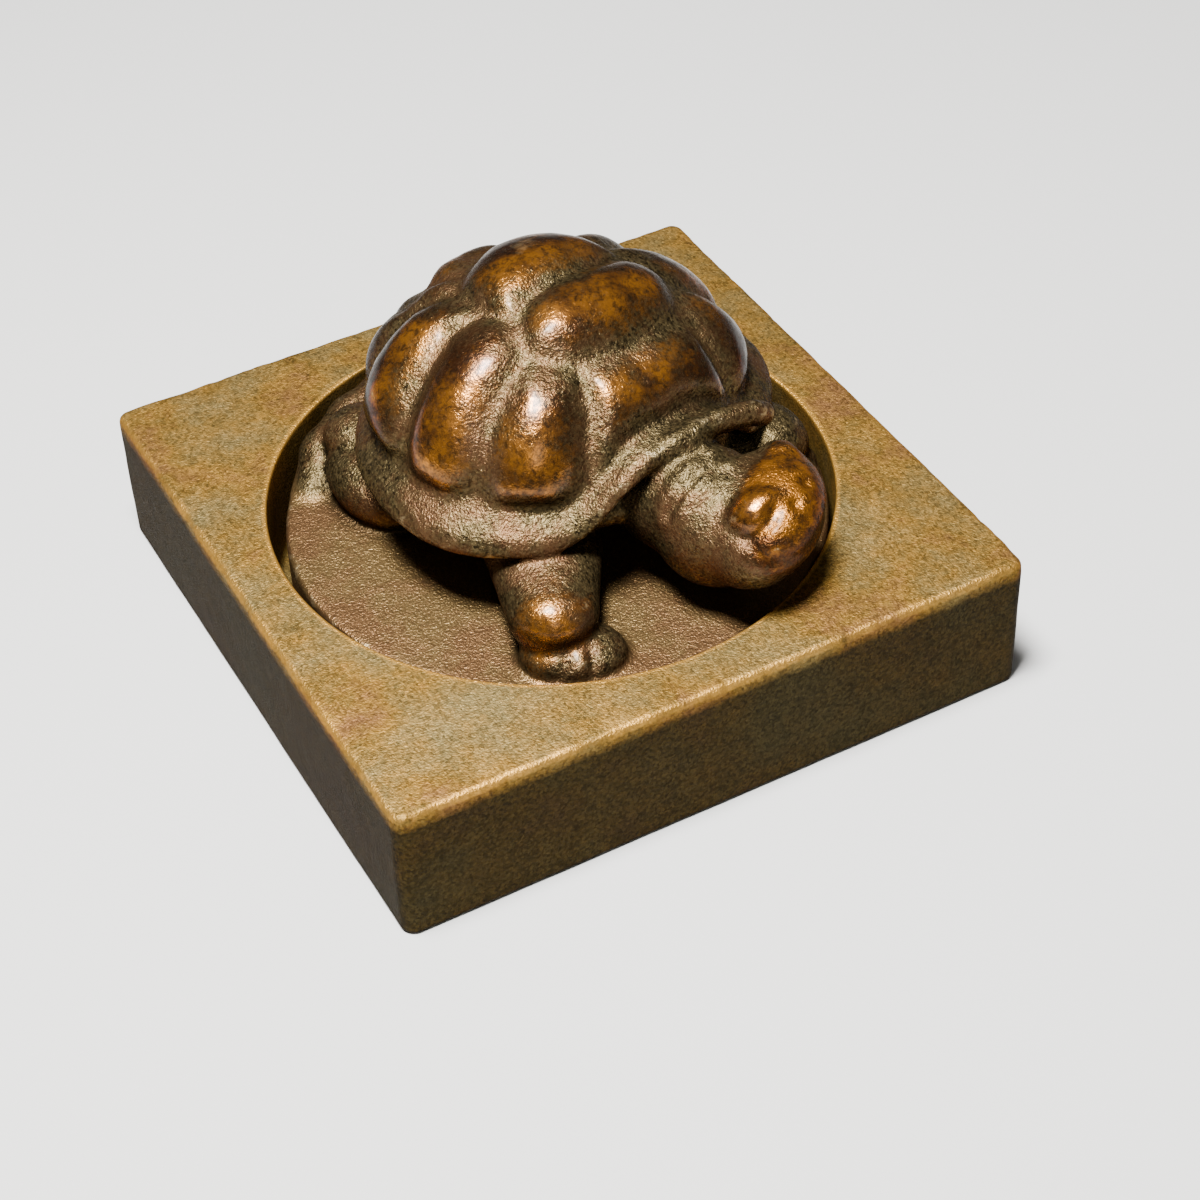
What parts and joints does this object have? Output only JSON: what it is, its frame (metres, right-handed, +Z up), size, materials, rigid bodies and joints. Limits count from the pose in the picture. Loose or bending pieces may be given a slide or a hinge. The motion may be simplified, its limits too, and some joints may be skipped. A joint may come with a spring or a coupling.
{
  "type": "bronze tortoise figure on a disc in a square base",
  "caption": "Cast bronze tortoise with a lobed shell, standing on a round disc that lies loose in the round socket of a square bronze base.",
  "frame": {"origin": "middle of the square base's underside", "axes": "+Z up, X and Y along the base's sides; the tortoise faces mostly -Y"},
  "size_m": [0.06, 0.06, 0.0343],
  "materials": {
    "golden_bronze": "worn golden-brown patina on sand-cast bronze, with a fine grain and bright edges",
    "brown_bronze": "dark brown patina on cast bronze, rubbed to a glossy amber on the high places"
  },
  "bodies": {
    "root": {"square_base": "golden_bronze", "tortoise_on_disc": "brown_bronze"}
  },
  "joints": []
}
